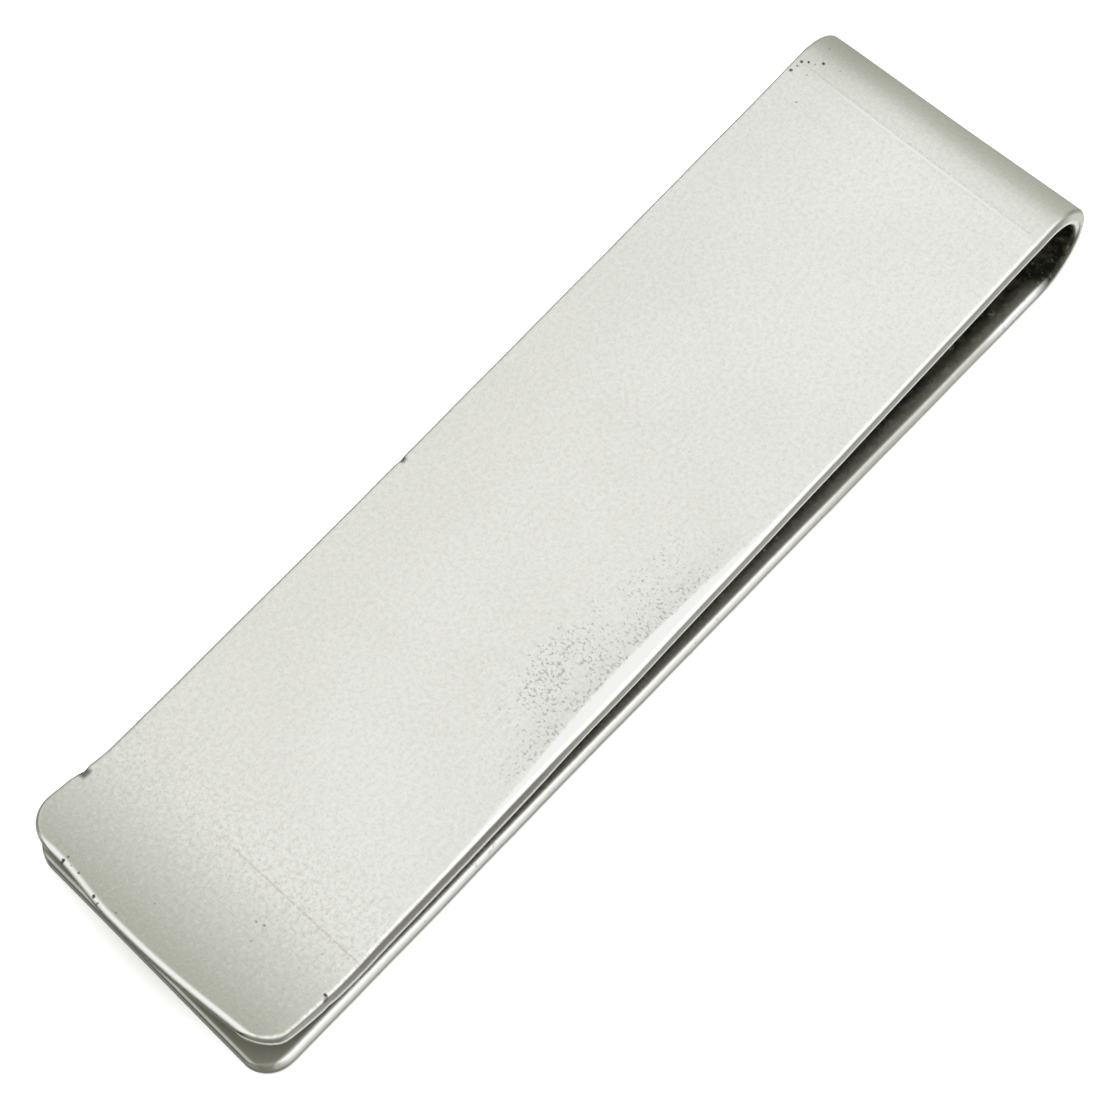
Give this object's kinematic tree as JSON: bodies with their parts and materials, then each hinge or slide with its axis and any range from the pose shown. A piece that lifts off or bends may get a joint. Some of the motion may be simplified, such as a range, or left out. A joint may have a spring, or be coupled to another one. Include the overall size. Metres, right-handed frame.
{
  "type": "money clip",
  "caption": "Folded sheet-silver money clip: flat back leaf, tight return bend, front leaf sloping in to a pinch line, and an upturned thumb lip with rounded corners.",
  "frame": {"origin": "under the middle of the clip's bounding box, on the plane the back leaf lies on", "axes": "+X along the clip from the free ends to the return bend, +Y across the strip, +Z from the back leaf to the front leaf"},
  "size_m": [0.0574, 0.0156, 0.0058],
  "materials": {
    "satin_silver": "hand-worn satin sterling silver with rubbed bright edges and a tarnished inside",
    "worn_silver": "satin sterling silver, a little darker where it is handled"
  },
  "bodies": {
    "back": {"back_leaf": "satin_silver", "bend_back": "satin_silver"},
    "front_root": {"bend_front": "satin_silver", "leaf_root": "satin_silver"},
    "front_mid": {"leaf_mid": "satin_silver"},
    "front_end": {"leaf_tip": "satin_silver", "lip_heel": "satin_silver", "thumb_lip": "worn_silver"}
  },
  "joints": [
    {"name": "bend_flex", "type": "hinge", "parent": "back", "child": "front_root", "pos_m": [0.02872, 0, 0.0029], "axis": [0, 1, 0], "range_deg": [0, 4.2], "stiffness_Nm_per_rad": 5.3, "springref_deg": -1.03},
    {"name": "leaf_root_flex", "type": "hinge", "parent": "front_root", "child": "front_mid", "pos_m": [0.01493, 0, 0.00473], "axis": [0, 1, 0], "range_deg": [0, 3]},
    {"name": "leaf_tip_flex", "type": "hinge", "parent": "front_mid", "child": "front_end", "pos_m": [-0.0066, 0, 0.00301], "axis": [0, 1, 0], "range_deg": [0, 1.4]}
  ],
  "couplings": [
    {"joint": "leaf_root_flex", "follows": "bend_flex", "ratio": 0.713},
    {"joint": "leaf_tip_flex", "follows": "bend_flex", "ratio": 0.326}
  ]
}
